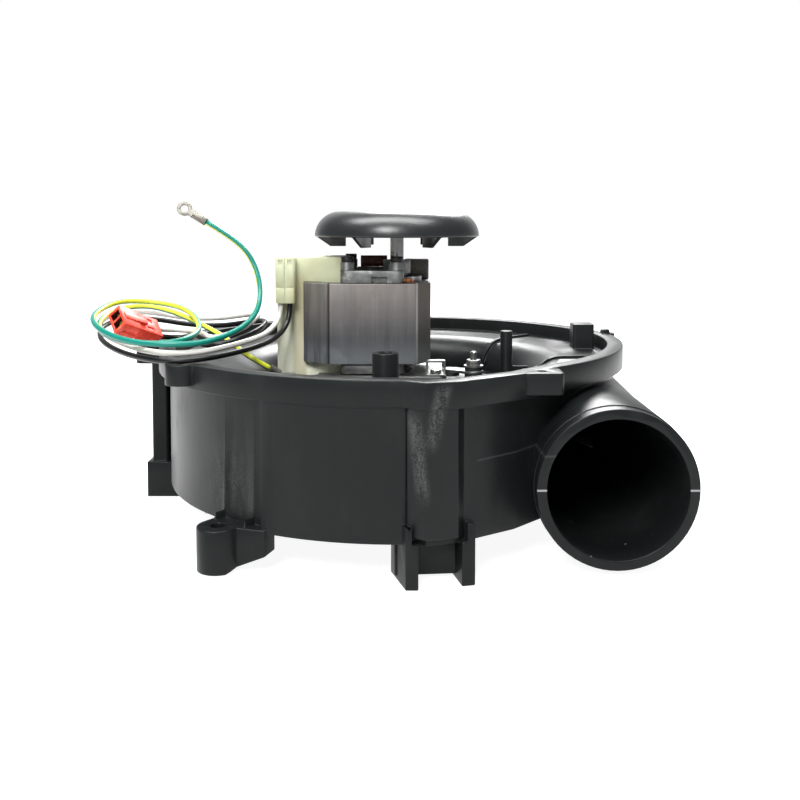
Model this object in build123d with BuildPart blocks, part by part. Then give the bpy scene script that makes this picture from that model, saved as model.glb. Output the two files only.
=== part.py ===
from build123d import *
import os
from math import cos, pi, radians, sin, tan

# Combustion fan of a furnace: a shaded-pole motor on a round blower housing with a side outlet.
# Millimetres. The origin is on the shaft's axis, in the plane of the housing's feet.
# +Z runs along the shaft towards the cooling fan, and the outlet blows along -Y on the +X side.

os.makedirs("parts", exist_ok=True)


def polar(radius, angle):
    """A point in plan at a radius and an angle in degrees."""
    return radius * cos(radians(angle)), radius * sin(radians(angle))


def save(piece, name):
    """Label a finished piece and write it as its own STEP file."""
    piece.part.label = name
    export_step(piece.part, f"parts/{name}.step")


# ---- driving dimensions -------------------------------------------------------------------------

# housing tub
rim_radius = 136.5
rim_top = 94.5
rim_depth = 12.4
rim_width = 9.0
wall_inset = 6.0
tub_bottom = 19.0
ledge_top = 86.5
skin = 2.5
shoulder_radius = 20.0
well_radius = 76.0
well_floor = 67.5
panel_start = 241.8
panel_inset = 1.5

# outlet spigot
outlet_x = 103.4
outlet_z = 40.8
outlet_radius = 38.1
outlet_wall = 4.8
outlet_end = -124.0
outlet_shoulder = 0.5
spigot_length = 8.0
throat_start = -48.0
throat_end = 30.0

# lower cover and inlet
cover_thickness = 3.0
cover_gap = 0.3
cover_notch = (62.0, 32.0)
inlet_radius = 38.1
inlet_wall = 2.5
inlet_drop = 8.0
cover_screw_radius = 1.95
cover_screw_angles = (40, 85, 130, 175, 220, 265)
cover_boss_circle = 123.5

# mounting ears
ear_circle = 141.3
ear_angle = 233.1
ear_radius = 10.3
ear_top = 21.0
ear_hole = 3.5

# motor
shaft_radius = 3.97
shaft_bottom = 36.0
shaft_top = 166.0
running_gap = 0.03
stack_bottom = 84.5
stack_top = 129.9
stack_half = 27.0
bore_radius = 15.0
air_gap = 0.4
rotor_end_ring = 3.0
bolt_radius = 1.95
bolt_places = ((-28, -21), (-28, 21), (0, -21), (0, 21))
core_left = -53.5
core_right = -43.5
window_right = -27.4
window_half = 13.0
bobbin_half_x = 20.5
bobbin_half_z = 37.2
bobbin_wall = 1.5
bobbin_flange = 2.0
bracket_bar = 7.3
post_radius = 3.95
post_top = 142.0
head_height = 3.0
bearing_radius = 5.8
hub_wall = 2.2
upper_hub_height = 8.2

# motor mounting
plate_bottom = 76.0
plate_thickness = 2.0
arm_bottom = 78.5
stud_radius = 2.0
stud_top = 91.0
stud_places = ((43.7, -20.5), (12.0, 52.0), (-42.0, 46.0))
ground_place = (-59.0, -38.0)

# impeller
impeller_radius = 70.0
impeller_top = 61.0
impeller_bottom = 31.0
impeller_eye = 40.0
blade_count = 12
blade_thickness = 1.8
hub_radius = 9.0

# cooling fan
fan_radius = 48.1
fan_rim = 156.2
fan_top = 170.7
fan_skin = 2.4
fan_fin_bottom = 150.3
fan_fin_count = 6
fan_fin_inner = 30.0
fan_fin_thickness = 1.8
fan_hub_radius = 8.5
fan_hub_bottom = 156.6

# ---- plan of the housing ------------------------------------------------------------------------

boss_left = (2.0, -rim_radius)
boss_front = (12.7, -143.0)
boss_right = (29.4, -138.7)
corner_front = (60.0, -118.0)
corner_right = (80.0, -97.0)
side_middle = (124.0, -36.0)
side_end = polar(rim_radius, 15)

with BuildSketch() as rim_plan:
    with BuildLine():
        ThreePointArc(side_end, polar(rim_radius, 143), boss_left)
        Polyline(boss_left, boss_front, boss_right, corner_front, corner_right)
        ThreePointArc(corner_right, side_middle, side_end)
    make_face()


def plan(inset):
    """The rim's outline moved inwards."""
    return offset(rim_plan.sketch, amount=-inset, kind=Kind.INTERSECTION, mode=Mode.PRIVATE)


wall_plan = plan(wall_inset)
inner_plan = plan(rim_width)
cover_plan = plan(rim_width + cover_gap)
tub_inside = rim_radius - rim_width


def shoulder_section(raise_by, thickness):
    """Section of the rounded shoulder between the ledge and the well, across x and y of its plane."""
    outer = shoulder_radius + raise_by
    inner = shoulder_radius + raise_by - thickness
    centre = (well_radius + shoulder_radius, ledge_top - shoulder_radius)
    with BuildSketch() as section:
        with BuildLine():
            Line((centre[0] + 2, centre[1] + outer), (centre[0], centre[1] + outer))
            CenterArc(centre, outer, 90, 90)
            Line((centre[0] - outer, centre[1]), (centre[0] - inner, centre[1]))
            CenterArc(centre, inner, 90, 90)
            Line((centre[0], centre[1] + inner), (centre[0] + 2, centre[1] + inner))
            Line((centre[0] + 2, centre[1] + inner), (centre[0] + 2, centre[1] + outer))
        make_face()
    return section.sketch_local


# ---- housing ------------------------------------------------------------------------------------

with BuildPart() as throat:
    # the outlet's outside: the round spigot, the pipe behind its shoulder, and the way to the tub's side
    with BuildSketch(Plane.XZ.offset(-throat_start)):
        with Locations((outlet_x, outlet_z)):
            Circle(outlet_radius + outlet_shoulder)
    with BuildSketch(Plane.XZ.offset(-throat_end)):
        with Locations((99, (tub_bottom + rim_top - rim_depth) / 2)):
            RectangleRounded(56, rim_top - rim_depth - tub_bottom, 12)
    loft()
    with BuildSketch(Plane.XY.offset(tub_bottom + cover_thickness)):
        add(inner_plan)
    extrude(amount=ledge_top - skin - tub_bottom - cover_thickness, mode=Mode.SUBTRACT)
    with BuildSketch(Plane.XZ.offset(-outlet_end - spigot_length)):
        with Locations((outlet_x, outlet_z)):
            Circle(outlet_radius + outlet_shoulder)
    extrude(amount=outlet_end + spigot_length - throat_start)
    with BuildSketch(Plane.XZ.offset(-outlet_end)):
        with Locations((outlet_x, outlet_z)):
            Circle(outlet_radius)
    extrude(amount=-spigot_length)

with BuildPart() as throat_space:
    # the air's way through the outlet
    with BuildSketch(Plane.XZ.offset(-throat_start)):
        with Locations((outlet_x, outlet_z)):
            Circle(outlet_radius - outlet_wall)
    with BuildSketch(Plane.XZ.offset(-throat_end)):
        with Locations((98, (tub_bottom + rim_top - rim_depth) / 2)):
            RectangleRounded(46, rim_top - rim_depth - tub_bottom - 8, 8)
    loft()
    with BuildSketch(Plane.XZ.offset(-outlet_end + 1)):
        with Locations((outlet_x, outlet_z)):
            Circle(outlet_radius - outlet_wall)
    extrude(amount=outlet_end - 1 - throat_start)

with BuildPart() as beads:
    # raised beads that run over the shoulder and the ledge
    with BuildSketch(Plane.XZ):
        add(shoulder_section(1.6, skin + 1.6))
        with Locations((well_radius + shoulder_radius + 16, ledge_top + 0.8 - skin / 2)):
            Rectangle(30, skin + 1.6)
    revolve(axis=Axis.Z)
    with BuildSketch(Plane.XY.offset(well_floor)):
        with BuildLine():
            FilletPolyline((118, -15), (84, -19), (73, -58), radius=9)
        trace(line_width=2)
        with BuildLine():
            Line(polar(well_radius, 44), polar(tub_inside - 6, 43))
        trace(line_width=2)
    extrude(amount=30, mode=Mode.INTERSECT)

leg_plans = (
    ((4.3, -140.5), (10.2, -140.5), (4.0, -117.5), (-2.6, -117.5)),
    ((30.0, -135.5), (36.2, -134.0), (31.0, -112.0), (24.8, -113.0)),
)
leg_top = 28.5
leg_notch = 8.0
with BuildPart() as feet:
    for leg in leg_plans:
        with BuildSketch():
            Polygon(*leg, align=None)
        extrude(amount=leg_top)
    with BuildSketch(Plane.XY.offset(2)):
        Polygon((-0.5, -127.5), (32, -124.5), (32, -121.5), (-1.5, -124.5), align=None)
    extrude(amount=tub_bottom)
    with BuildSketch(Plane.XY.offset(leg_top - leg_notch)):
        Polygon((7.6, -142), (12, -142), (12, -134), (6.0, -134), align=None)
        Polygon((28.5, -137), (32.8, -137), (31.6, -129), (28.5, -129), align=None)
    extrude(amount=leg_notch, mode=Mode.SUBTRACT)
    for angle in (ear_angle, ear_angle - 180):
        with BuildSketch(Plane.XY.rotated((0, 0, angle))):
            with Locations((ear_circle, 0)):
                Circle(ear_radius)
            with Locations(((ear_circle + tub_inside) / 2, 0)):
                Rectangle(ear_circle - tub_inside, 2 * ear_radius)
            Polygon((tub_inside, 0), (139, ear_radius), (134.5, 24), (tub_inside, 24), align=None)
        extrude(amount=ear_top)
        with BuildSketch(Plane.XY.rotated((0, 0, angle)).offset(ear_top)):
            for side in (-7.5, 12.5):
                with Locations(((ear_circle + tub_inside) / 2 - 2, side)):
                    Rectangle(9, 1.6)
        extrude(amount=9, taper=12)
    with BuildSketch():
        with Locations((-140, 11)):
            Rectangle(19, 16)
    extrude(amount=ear_top)
    with BuildSketch(Plane.XY.offset(tub_bottom - 0.2)):
        add(plan(rim_width - 0.5))
    extrude(amount=leg_top, mode=Mode.SUBTRACT)
    with Locations(*((*polar(ear_circle, angle), ear_top / 2) for angle in (ear_angle, ear_angle - 180))):
        Hole(ear_hole, ear_top)

with BuildPart() as upper_housing:
    # wall, rim and ledge
    with BuildSketch(Plane.XY.offset(tub_bottom)):
        add(wall_plan)
        add(inner_plan, mode=Mode.SUBTRACT)
    extrude(amount=rim_top - tub_bottom)
    with BuildSketch(Plane.XY.offset(rim_top - rim_depth)):
        add(rim_plan.sketch)
        add(inner_plan, mode=Mode.SUBTRACT)
    extrude(amount=rim_depth)
    with BuildSketch(Plane.XY.offset(ledge_top - skin)):
        add(plan(rim_width - 0.5))
        Circle(well_radius + shoulder_radius, mode=Mode.SUBTRACT)
    extrude(amount=skin)
    with BuildSketch(Plane.XZ):
        add(shoulder_section(0, skin))
        with Locations((well_radius / 2 + 1, well_floor - skin / 2)):
            Rectangle(well_radius + 2, skin)
    revolve(axis=Axis.Z)
    # thicker panel at the front left, and the pilaster between the legs
    with BuildSketch(Plane.XY.offset(tub_bottom)):
        panel_sweep = 272 - panel_start
        with BuildLine():
            outer = CenterArc((0, 0), rim_radius - panel_inset, panel_start, panel_sweep)
            inner = CenterArc((0, 0), tub_inside + 0.5, panel_start, panel_sweep)
            Line(outer @ 0, inner @ 0)
            Line(outer @ 1, inner @ 1)
        make_face()
    extrude(amount=rim_top - rim_depth - tub_bottom)
    with BuildSketch(Plane.XY.offset(tub_bottom + 4)) as pilaster:
        Polygon((4, -130), (5, -136.5), (13.2, -141.4), (28, -137.6), (31, -130), align=None)
        fillet(pilaster.vertices().group_by(Axis.Y)[0], radius=3)
    extrude(amount=rim_top - rim_depth - tub_bottom - 4)
    # ears on the rim, and the post at the left
    with BuildSketch(Plane.XY.offset(rim_top - 10.5)):
        with Locations((69.5, -110)):
            RectangleRounded(19, 15, 2.5)
        with Locations(polar(rim_radius + 2, 219)):
            Circle(8)
        with Locations(polar(rim_radius - 1.5, 16)):
            Circle(7)
        with Locations((-139, -2)):
            RectangleRounded(20, 40, 4)
    extrude(amount=10.5)
    with BuildSketch(Plane.XY.offset(1)):
        with Locations((-142, 11)):
            RectangleRounded(10, 11, 2)
        with Locations((-133, 11)):
            Rectangle(10, 3)
    extrude(amount=rim_top - 3)
    with Locations((130, 33, rim_top + 1.3)):
        Box(5, 5, 2.8)
    # feet, outlet and the floor at the outlet's corner
    add(feet.part)
    with BuildSketch(Plane.XY.offset(tub_bottom)):
        add(plan(rim_width - 0.5))
        with Locations((cover_notch[0] + 100 + cover_gap, cover_notch[1] - 100 - cover_gap)):
            Rectangle(200, 200, mode=Mode.INTERSECT)
    extrude(amount=cover_thickness)
    add(throat.part)
    add(throat_space.part, mode=Mode.SUBTRACT)
    # standoffs in the well and on the ledge
    with BuildSketch(Plane.XY.offset(ledge_top - skin)):
        with Locations((-5.3, -98)):
            Circle(6.5)
        with Locations((114.6, 28)):
            RectangleRounded(13, 13, 1.5)
    extrude(amount=17.5)
    with BuildSketch(Plane.XY.offset(well_floor - skin)):
        with Locations((63.5, -10)):
            Circle(3.5)
        with Locations((70, -10)):
            Rectangle(12, 2)
    extrude(amount=16)
    with BuildSketch(Plane.XY.offset(well_floor)):
        with Locations((63.5, -10)):
            Circle(3.5)
    extrude(amount=34)
    with BuildSketch(Plane.XY.offset(well_floor - skin)):
        with Locations(*stud_places, ground_place):
            Circle(5.5)
    extrude(amount=plate_bottom - well_floor + skin)
    # bosses for the cover's screws
    with BuildSketch(Plane.XY.offset(tub_bottom + cover_thickness)):
        with Locations(*(polar(cover_boss_circle, angle) for angle in cover_screw_angles)):
            Circle(5)
    extrude(amount=14)
    add(beads.part)
    # holes
    with Locations((-5.3, -98, ledge_top + 15)):
        Hole(3.4, 12)
    with Locations((69.5, -110, rim_top), (-137, -14, rim_top), (*polar(rim_radius + 2, 219), rim_top)):
        Hole(2.2, 9)
    with Locations(*((*polar(cover_boss_circle, angle), tub_bottom + 3) for angle in cover_screw_angles)):
        Cylinder(cover_screw_radius + 0.05, 24, mode=Mode.SUBTRACT)
    with Locations(*((*place, plate_bottom) for place in stud_places)):
        Cylinder(stud_radius + 0.05, 15, mode=Mode.SUBTRACT)
    with Locations((*ground_place, plate_bottom)):
        Cylinder(1.8, 13, mode=Mode.SUBTRACT)
    with Locations((0, 0, well_floor)):
        Cylinder(11, 4 * skin, mode=Mode.SUBTRACT)
    with BuildSketch(Plane.XY.offset(ledge_top - 12)):
        with Locations(Location((87, -38), -24)):
            SlotOverall(8, 3)
    extrude(amount=20, mode=Mode.SUBTRACT)
save(upper_housing, "upper_housing")

with BuildPart() as lower_cover:
    with BuildSketch(Plane.XY.offset(tub_bottom)):
        add(cover_plan)
        with Locations((cover_notch[0] + 100, cover_notch[1] - 100)):
            Rectangle(200, 200, mode=Mode.SUBTRACT)
        Circle(inlet_radius, mode=Mode.SUBTRACT)
    extrude(amount=cover_thickness)
    with BuildSketch(Plane.XY.offset(tub_bottom - inlet_drop)):
        Circle(inlet_radius + inlet_wall)
        Circle(inlet_radius, mode=Mode.SUBTRACT)
    extrude(amount=inlet_drop)
    with Locations(*((*polar(cover_boss_circle, angle), tub_bottom) for angle in cover_screw_angles)):
        Cylinder(cover_screw_radius + 0.3, 10, mode=Mode.SUBTRACT)
save(lower_cover, "lower_cover")

with BuildPart() as cover_screws:
    with BuildSketch(Plane.XY.offset(tub_bottom - 2.2)):
        with Locations(*(polar(cover_boss_circle, angle) for angle in cover_screw_angles)):
            Circle(3.8)
    extrude(amount=2.2)
    with BuildSketch(Plane.XY.offset(tub_bottom)):
        with Locations(*(polar(cover_boss_circle, angle) for angle in cover_screw_angles)):
            Circle(cover_screw_radius)
    extrude(amount=13)
save(cover_screws, "cover_screws")

with BuildPart() as inlet_gasket:
    with BuildSketch(Plane.XY.offset(tub_bottom - 5)):
        Circle(inlet_radius + inlet_wall + 16)
        Circle(inlet_radius + inlet_wall + 0.4, mode=Mode.SUBTRACT)
    extrude(amount=5)
save(inlet_gasket, "inlet_gasket")

# ---- shaft seal in the well's floor --------------------------------------------------------------

seal_radius = 17.0
seal_thickness = 1.5
retainer_thickness = 1.2
retainer_screw_circle = 16.0
retainer_places = [polar(retainer_screw_circle, angle) for angle in (30, 150, 270)]

with BuildPart() as shaft_seal:
    with BuildSketch(Plane.XY.offset(well_floor)):
        Circle(seal_radius + 3)
        Circle(shaft_radius + 0.33, mode=Mode.SUBTRACT)
        with Locations(*retainer_places):
            Circle(1.7, mode=Mode.SUBTRACT)
    extrude(amount=seal_thickness)
save(shaft_seal, "shaft_seal")

with BuildPart() as seal_retainer:
    with BuildSketch(Plane.XY.offset(well_floor + seal_thickness)):
        Circle(seal_radius + 3)
        Circle(11, mode=Mode.SUBTRACT)
        with Locations(*retainer_places):
            Circle(1.7, mode=Mode.SUBTRACT)
    extrude(amount=retainer_thickness)
save(seal_retainer, "seal_retainer")

with BuildPart() as retainer_screws:
    retainer_top = well_floor + seal_thickness + retainer_thickness
    with BuildSketch(Plane.XY.offset(well_floor)):
        with Locations(*retainer_places):
            Circle(1.5)
    extrude(amount=retainer_top - well_floor)
    with BuildSketch(Plane.XY.offset(retainer_top)):
        with Locations(*retainer_places):
            Circle(2.8)
    extrude(amount=1.6)
save(retainer_screws, "retainer_screws")

# ---- motor: stator -------------------------------------------------------------------------------

stack_height = stack_top - stack_bottom
core_middle = (core_left + core_right) / 2
coil_middle = (stack_bottom + stack_top) / 2
shading_places = [(polar(17.6, a), polar(17.6, a + 40)) for a in (80, 260)]
shading_radius = 1.1

with BuildPart() as stator_core:
    with BuildSketch(Plane.XY.offset(stack_bottom)) as lamination:
        Polygon(
            (10.6, -stack_half), (19.2, -18.4), (19.2, 18.4), (10.6, stack_half),
            (-38, stack_half), (core_left, 17), (core_left, -17), (-38, -stack_half), align=None,
        )
        with Locations(((core_left - 5 + window_right) / 2, 0)):
            Rectangle(window_right - core_left + 5, 2 * window_half, mode=Mode.SUBTRACT)
        Circle(bore_radius, mode=Mode.SUBTRACT)
        with Locations(*bolt_places):
            Circle(bolt_radius + 0.15, mode=Mode.SUBTRACT)
        with Locations(*(place for pair in shading_places for place in pair)):
            Circle(shading_radius + 0.1, mode=Mode.SUBTRACT)
    extrude(amount=stack_height)
save(stator_core, "stator_core")

with BuildPart() as coil_core:
    with BuildSketch(Plane.XY.offset(stack_bottom)):
        with Locations((core_middle, 0)):
            Rectangle(core_right - core_left, 2 * window_half)
    extrude(amount=stack_height)
save(coil_core, "coil_core")


def coil_frame(half_x, half_z):
    """A rectangle round the coil's core, on the XZ plane."""
    with Locations((core_middle, coil_middle)):
        RectangleRounded(2 * half_x, 2 * half_z, 2)


core_half_x = (core_right - core_left) / 2 + 0.2
core_half_z = stack_height / 2 + 0.2
winding_half = window_half - bobbin_flange - 0.2
winding_depth = bobbin_half_x - core_half_x - bobbin_wall - 1.8
wrap_thickness = 0.5

with BuildPart() as coil_bobbin:
    with BuildSketch(Plane.XZ.offset(-window_half + 0.2)):
        coil_frame(core_half_x + bobbin_wall, core_half_z + bobbin_wall)
    extrude(amount=2 * window_half - 0.4)
    with BuildSketch(Plane.XZ.offset(-window_half + 0.2), Plane.XZ.offset(window_half - 0.2 - bobbin_flange)):
        coil_frame(bobbin_half_x, bobbin_half_z)
    extrude(amount=bobbin_flange)
    with BuildSketch(Plane.XZ.offset(-window_half)):
        with Locations((core_middle, coil_middle)):
            Rectangle(2 * core_half_x, 2 * core_half_z)
    extrude(amount=2 * window_half, mode=Mode.SUBTRACT)
save(coil_bobbin, "coil_bobbin")

with BuildPart() as coil_winding:
    with BuildSketch(Plane.XZ.offset(-winding_half + 0.1)):
        coil_frame(core_half_x + bobbin_wall + winding_depth, core_half_z + bobbin_wall + winding_depth)
        with Locations((core_middle, coil_middle)):
            RectangleRounded(
                2 * (core_half_x + bobbin_wall + 0.05), 2 * (core_half_z + bobbin_wall + 0.05), 2,
                mode=Mode.SUBTRACT,
            )
    extrude(amount=2 * winding_half - 0.2)
save(coil_winding, "coil_winding")

with BuildPart() as coil_wrap:
    wrap_x = core_half_x + bobbin_wall + winding_depth + 0.1
    wrap_z = core_half_z + bobbin_wall + winding_depth + 0.1
    with BuildSketch(Plane.XZ.offset(-winding_half + 0.1)):
        coil_frame(wrap_x + wrap_thickness, wrap_z + wrap_thickness)
        with Locations((core_middle, coil_middle)):
            RectangleRounded(2 * wrap_x, 2 * wrap_z, 2, mode=Mode.SUBTRACT)
    extrude(amount=2 * winding_half - 0.2)
save(coil_wrap, "coil_wrap")

with BuildPart() as shading_rings:
    for first, second in shading_places:
        with BuildSketch(Plane.XY.offset(stack_bottom - 1.6)):
            with Locations(first, second):
                Circle(shading_radius)
        extrude(amount=stack_height + 3.2)
        for level in (stack_bottom - 2.2, stack_top + 0.2):
            with BuildSketch(Plane.XY.offset(level)):
                with BuildLine():
                    Line(first, second)
                trace(line_width=2 * shading_radius)
            extrude(amount=2)
save(shading_rings, "shading_rings")

# terminals stand on the front flange, at its upper left corner
block_size = (11.0, 8.0, 26.0)
block_left = core_middle - bobbin_half_x
block_front = -window_half + 0.1 - block_size[1]
block_middle = (block_left + block_size[0] / 2, block_front + block_size[1] / 2)
block_low = coil_middle + bobbin_half_z - block_size[2]
lead_places = ((block_left + 3.0, block_middle[1]), (block_left + 8.0, block_middle[1]))
lead_diameter = 3.0
with BuildPart() as terminal_block:
    with Locations((*block_middle, block_low + block_size[2] / 2)):
        Box(*block_size)
    fillet(terminal_block.edges().filter_by(Axis.Z), radius=1.2)
    with Locations(*((*place, block_low) for place in lead_places)):
        Cylinder(lead_diameter / 2 + 0.1, 16, mode=Mode.SUBTRACT)
    with Locations(*((*place, block_low + 12.9) for place in lead_places)):
        Box(2.4, 1.2, 10, mode=Mode.SUBTRACT)
save(terminal_block, "terminal_block")

with BuildPart() as terminal_pins:
    with Locations(*((*place, block_low + 13.0) for place in lead_places)):
        Box(2.2, 0.8, 8)
save(terminal_pins, "terminal_pins")

sleeve_radius = 3.4
with BuildPart() as protector_sleeve:
    with BuildSketch(Plane.YZ.offset(-22)):
        with Locations((19, stack_top + bracket_bar + sleeve_radius + 0.1)):
            Circle(sleeve_radius)
            Circle(sleeve_radius - 0.8, mode=Mode.SUBTRACT)
    extrude(amount=16)
save(protector_sleeve, "protector_sleeve")

# ---- motor: brackets, bearings and screws --------------------------------------------------------

hub_outer = bearing_radius + hub_wall
lower_bar = 6.0
bar_length = 36.0
bar_middle = -14.0
lower_hub_bottom = 73.5
bearing_bottoms = (lower_hub_bottom - 0.7, stack_top + rotor_end_ring + 1.3)
bearing_lengths = (stack_bottom - rotor_end_ring - 1.3 - bearing_bottoms[0], upper_hub_height - 0.2)

with BuildPart() as upper_bearing_bracket:
    with BuildSketch(Plane.XY.offset(stack_top)):
        with Locations((bar_middle, -21), (bar_middle, 21)):
            RectangleRounded(bar_length, 8, 3.5)
    extrude(amount=bracket_bar)
    with BuildSketch(Plane.XY.offset(stack_top)):
        with Locations(*bolt_places):
            Circle(post_radius)
    extrude(amount=post_top - stack_top)
    with BuildSketch(Plane.XY.offset(stack_top + rotor_end_ring + 1.2)):
        Rectangle(9, 42)
        Circle(hub_outer)
    extrude(amount=bracket_bar - 1)
    with BuildSketch(Plane.XY.offset(stack_top + rotor_end_ring + 1.2)):
        Circle(hub_outer)
    extrude(amount=upper_hub_height)
    with BuildSketch(Plane.XY.offset(stack_top)):
        with Locations(*(place for pair in shading_places for place in pair)):
            Circle(3.2)
        with BuildLine():
            Line(*shading_places[0])
            Line(*shading_places[1])
        trace(line_width=3.4)
    extrude(amount=2.6, mode=Mode.SUBTRACT)
    with Locations((0, 0, stack_top)):
        Cylinder(bearing_radius + running_gap, 60, mode=Mode.SUBTRACT)
    with Locations(*((*place, stack_top) for place in bolt_places)):
        Cylinder(bolt_radius + 0.15, 40, mode=Mode.SUBTRACT)
save(upper_bearing_bracket, "upper_bearing_bracket")

with BuildPart() as lower_bearing_bracket:
    with BuildSketch(Plane.XY.offset(stack_bottom - lower_bar)):
        with Locations((bar_middle, -21), (bar_middle, 21)):
            RectangleRounded(bar_length, 8, 3.5)
    extrude(amount=lower_bar)
    with BuildSketch(Plane.XY.offset(plate_bottom + plate_thickness)):
        with Locations(*bolt_places):
            Circle(post_radius)
    extrude(amount=stack_bottom - plate_bottom - plate_thickness)
    with BuildSketch(Plane.XY.offset(lower_hub_bottom)):
        Circle(hub_outer)
    extrude(amount=bearing_lengths[0] - 0.8)
    with BuildSketch(Plane.XY.offset(plate_bottom + plate_thickness)):
        Rectangle(9, 42)
    extrude(amount=lower_hub_bottom + bearing_lengths[0] - 0.8 - plate_bottom - plate_thickness)
    with BuildSketch(Plane.XY.offset(stack_bottom - 2.6)):
        with Locations(*(place for pair in shading_places for place in pair)):
            Circle(3.2)
        with BuildLine():
            Line(*shading_places[0])
            Line(*shading_places[1])
        trace(line_width=3.4)
    extrude(amount=2.6, mode=Mode.SUBTRACT)
    with Locations((0, 0, stack_bottom)):
        Cylinder(bearing_radius + running_gap, 60, mode=Mode.SUBTRACT)
    with Locations(*((*place, stack_bottom) for place in bolt_places)):
        Cylinder(bolt_radius + 0.15, 40, mode=Mode.SUBTRACT)
save(lower_bearing_bracket, "lower_bearing_bracket")

for name, bottom, length in zip(("lower_bearing", "upper_bearing"), bearing_bottoms, bearing_lengths):
    with BuildPart() as bearing:
        with BuildSketch(Plane.XY.offset(bottom)):
            Circle(bearing_radius)
            Circle(shaft_radius + running_gap, mode=Mode.SUBTRACT)
        extrude(amount=length)
    save(bearing, name)

with BuildPart() as bracket_screws:
    with BuildSketch(Plane.XY.offset(plate_bottom - 4.5)):
        with Locations(*bolt_places):
            Circle(bolt_radius)
    extrude(amount=post_top - plate_bottom + 4.5)
    with BuildSketch(Plane.XY.offset(post_top)):
        with Locations(*bolt_places):
            Circle(3.5)
            Rectangle(4.6, 1.0, rotation=35, mode=Mode.SUBTRACT)
    extrude(amount=head_height)
    with BuildSketch(Plane.XY.offset(post_top)):
        with Locations(*bolt_places):
            Circle(3.0)
    extrude(amount=head_height - 1.3)
save(bracket_screws, "bracket_screws")

with BuildPart() as bracket_nuts:
    with BuildSketch(Plane.XY.offset(plate_bottom - 3.2)):
        with Locations(*bolt_places):
            RegularPolygon(3.6, 6)
            Circle(bolt_radius + 0.05, mode=Mode.SUBTRACT)
    extrude(amount=3.2)
save(bracket_nuts, "bracket_nuts")

with BuildPart() as thermal_protector:
    with Locations((12.0, 19.4, stack_top + 6.1)):
        Box(14.4, 7.6, 12)
    fillet(thermal_protector.edges().filter_by(Axis.Z), radius=1.5)
save(thermal_protector, "thermal_protector")

# ---- motor mounting ------------------------------------------------------------------------------

grommet_radius = 5.0
grommet_bore = stud_radius + 0.1
washer_thickness = 1.0
nut_height = 3.2
arm_thickness = 1.6
boss_to_arm = arm_bottom - plate_bottom
upper_grommet = 2.0
with BuildPart() as motor_mount_plate:
    with BuildSketch(Plane.XY.offset(plate_bottom)):
        with Locations((-8.5, 0)):
            RectangleRounded(73, 60, 4)
        with Locations((-40, 0)):
            Rectangle(28, 2 * window_half + 4, mode=Mode.SUBTRACT)
        Circle(hub_outer + 1, mode=Mode.SUBTRACT)
        with Locations(*bolt_places):
            Circle(bolt_radius + 0.15, mode=Mode.SUBTRACT)
    extrude(amount=plate_thickness)
    with BuildSketch(Plane.XY.offset(plate_bottom)):
        with BuildLine():
            Line((-40, -24), ground_place)
        trace(line_width=10)
        with Locations(ground_place):
            Circle(5)
    extrude(amount=plate_thickness)
    for root, place in zip(((22, -8), (10, 26), (-36, 26)), stud_places):
        step = (root[0] + (place[0] - root[0]) * 0.42, root[1] + (place[1] - root[1]) * 0.42)
        with BuildSketch(Plane.XY.offset(plate_bottom)):
            with BuildLine():
                Line(root, step)
            trace(line_width=10)
        extrude(amount=plate_thickness)
        with BuildSketch(Plane.XY.offset(plate_bottom)):
            with Locations(step):
                Circle(5)
        extrude(amount=arm_bottom + arm_thickness - plate_bottom)
        with BuildSketch(Plane.XY.offset(arm_bottom)):
            with BuildLine():
                Line(step, place)
            trace(line_width=10)
            with Locations(place):
                Circle(grommet_radius + 0.5)
                Circle(grommet_bore + 0.3, mode=Mode.SUBTRACT)
        extrude(amount=arm_thickness)
    with Locations((*ground_place, plate_bottom)):
        Cylinder(1.9, 8, mode=Mode.SUBTRACT)
save(motor_mount_plate, "motor_mount_plate")

with BuildPart() as mount_grommets:
    for bottom, height in ((plate_bottom, boss_to_arm), (arm_bottom + arm_thickness, upper_grommet)):
        with BuildSketch(Plane.XY.offset(bottom)):
            with Locations(*stud_places):
                Circle(grommet_radius)
                Circle(grommet_bore, mode=Mode.SUBTRACT)
        extrude(amount=height)
save(mount_grommets, "mount_grommets")

washer_bottom = arm_bottom + arm_thickness + upper_grommet
with BuildPart() as mount_washers:
    with BuildSketch(Plane.XY.offset(washer_bottom)):
        with Locations(*stud_places):
            Circle(grommet_radius + 0.5)
            Circle(grommet_bore, mode=Mode.SUBTRACT)
    extrude(amount=washer_thickness)
save(mount_washers, "mount_washers")

with BuildPart() as mount_nuts:
    with BuildSketch(Plane.XY.offset(washer_bottom + washer_thickness)):
        with Locations(*stud_places):
            RegularPolygon(4.2, 6)
            Circle(stud_radius + 0.05, mode=Mode.SUBTRACT)
    extrude(amount=nut_height)
save(mount_nuts, "mount_nuts")

with BuildPart() as mount_studs:
    with BuildSketch(Plane.XY.offset(plate_bottom - 7)):
        with Locations(*stud_places):
            Circle(stud_radius)
    extrude(amount=stud_top - plate_bottom + 7)
    chamfer(mount_studs.faces().filter_by(Axis.Z).group_by(Axis.Z)[-1].edges(), length=0.6)
save(mount_studs, "mount_studs")

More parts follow.
